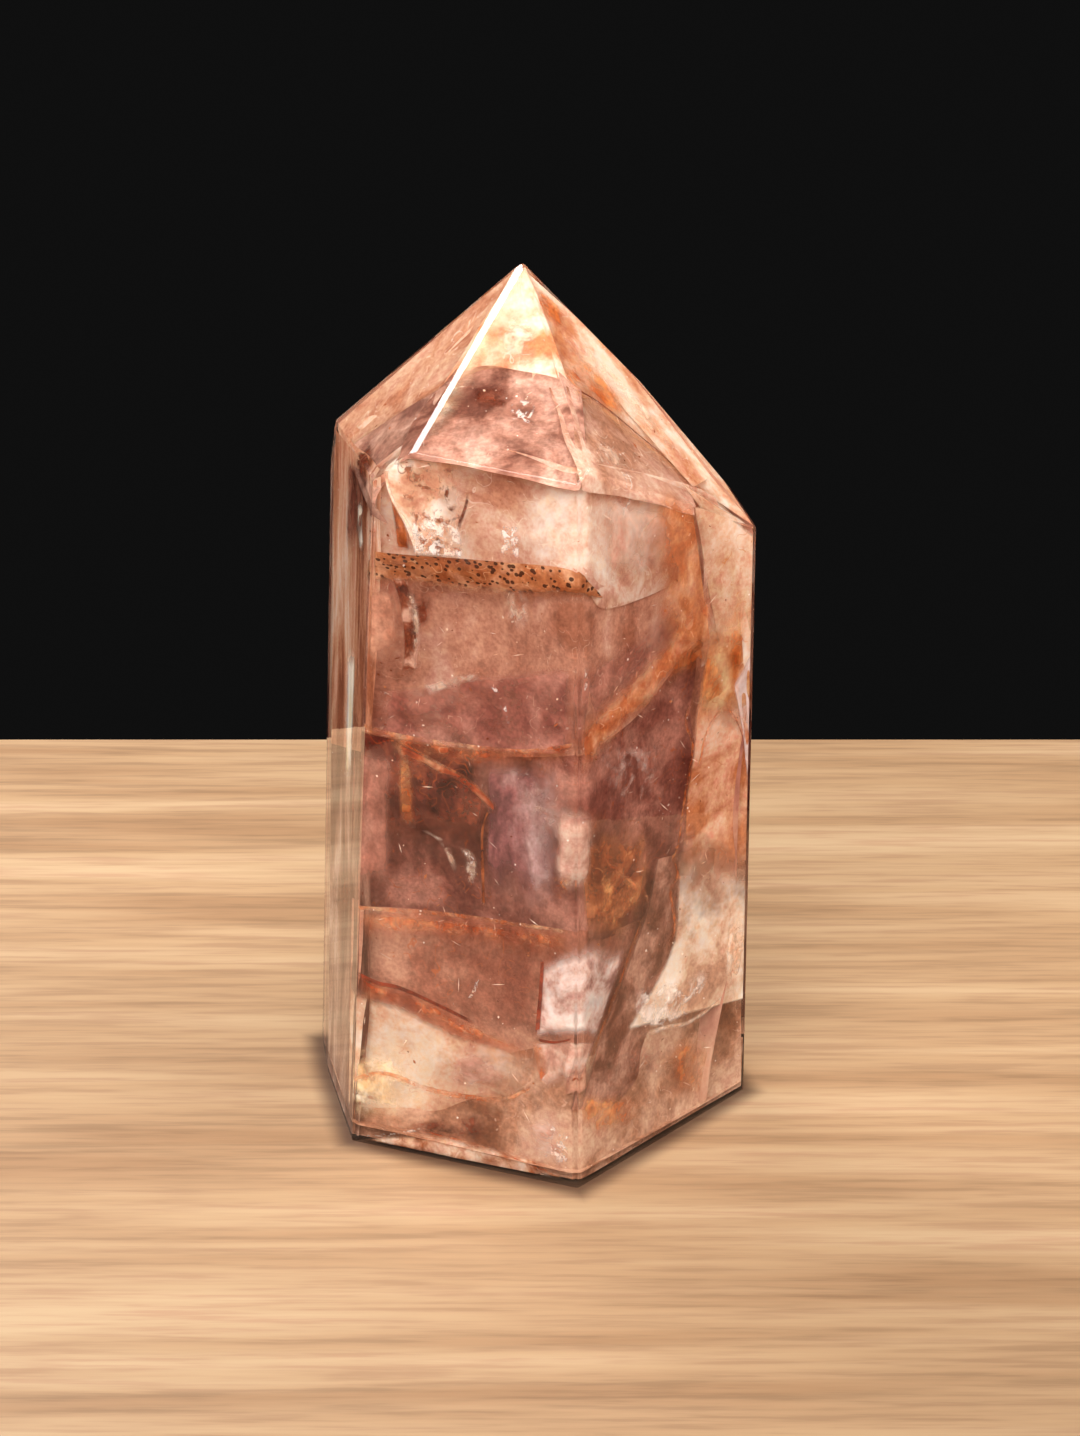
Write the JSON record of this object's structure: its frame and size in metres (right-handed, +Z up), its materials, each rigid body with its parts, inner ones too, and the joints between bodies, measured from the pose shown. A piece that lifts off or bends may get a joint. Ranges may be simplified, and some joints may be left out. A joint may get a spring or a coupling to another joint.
{
  "type": "hematoid quartz point",
  "caption": "Polished tower of iron-stained quartz with a faceted shaft, a pointed tip and a flat foot that stands on its own.",
  "frame": {"origin": "middle of the bounding rectangle of the flat foot, on the surface that the crystal stands on", "axes": "+Z up along the shaft to the tip, -Y towards the broad front facet, +X to the right as seen from the front"},
  "size_m": [0.0512, 0.05, 0.1],
  "materials": {
    "quartz": "polished"
  },
  "bodies": {
    "root": {"quartz_point": "quartz"}
  },
  "joints": []
}
